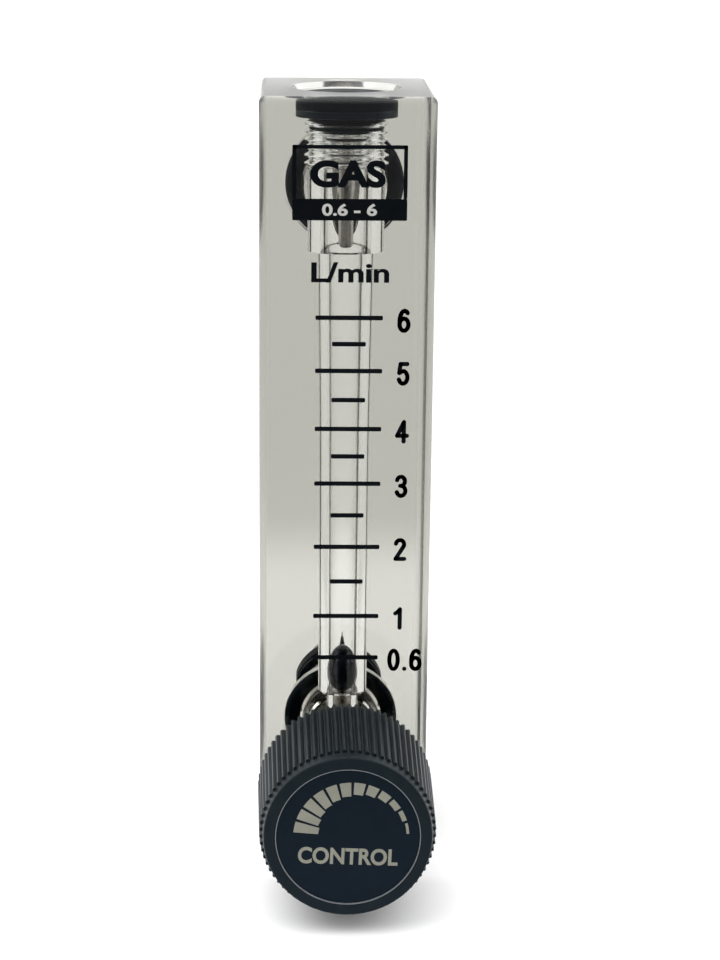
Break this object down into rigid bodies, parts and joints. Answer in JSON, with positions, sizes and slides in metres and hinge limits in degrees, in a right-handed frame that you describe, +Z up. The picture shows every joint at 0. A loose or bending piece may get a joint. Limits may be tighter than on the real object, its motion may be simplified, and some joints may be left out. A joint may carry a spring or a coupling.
{
  "type": "gas flow regulator",
  "caption": "Panel-mounted gas flow regulator: clear block with a tapered bore and ball float, a ribbed needle-valve knob in front and threaded fittings behind.",
  "frame": {"origin": "centre of the clear block's flat rear face, midway between the two ports", "axes": "+Z up along the block, +Y out of the rear face through the panel, -Y towards the knob, +X to the right seen from the front"},
  "size_m": [0.0202, 0.064, 0.0904],
  "materials": {
    "clear_acrylic": "polished clear acrylic",
    "black_plastic": "satin moulded",
    "black_rubber": "smooth",
    "stainless": "turned",
    "float_black": "polished",
    "nickel_brass": "nickel plated",
    "brass": "turned",
    "knob_plastic": "moulded, fine grain",
    "label_black": "printed film",
    "trim_gloss": "polished"
  },
  "bodies": {
    "housing": {"body_block": "clear_acrylic", "top_plug": "black_plastic", "top_plug_seal": "black_rubber", "float_stop_pin": "stainless", "float_rest": "stainless", "inlet_fitting": "nickel_brass", "outlet_fitting": "nickel_brass", "inlet_oring": "black_rubber", "outlet_oring": "black_rubber", "panel_washers": "black_plastic", "panel_nuts": "black_plastic", "valve_seat": "brass", "valve_bonnet": "nickel_brass", "bonnet_oring": "black_rubber", "bonnet_lock_nut": "nickel_brass"},
    "float": {"float_ball": "float_black"},
    "stem_carriage": {"stem_seal": "black_rubber", "stem_retainer": "stainless", "stem_washer": "stainless"},
    "knob": {"needle_stem": "stainless", "knob_shell": "knob_plastic", "knob_insert": "brass", "knob_set_screw": "stainless", "knob_label": "label_black", "knob_trim_ring": "trim_gloss"}
  },
  "joints": [
    {"name": "float_rise", "type": "slide", "parent": "housing", "child": "float", "axis": [0, 0, 1], "range_m": [0, 0.049]},
    {"name": "valve_lift", "type": "slide", "parent": "housing", "child": "stem_carriage", "axis": [0, -1, 0], "range_m": [-0.0021, 0.0007]},
    {"name": "knob_turn", "type": "hinge", "parent": "stem_carriage", "child": "knob", "pos_m": [0, -0.03, -0.03365], "axis": [0, -1, 0], "range_deg": [-1080, 360]}
  ],
  "couplings": [
    {"joint": "valve_lift", "follows": "knob_turn", "m_per_rad": 0.00011141}
  ]
}
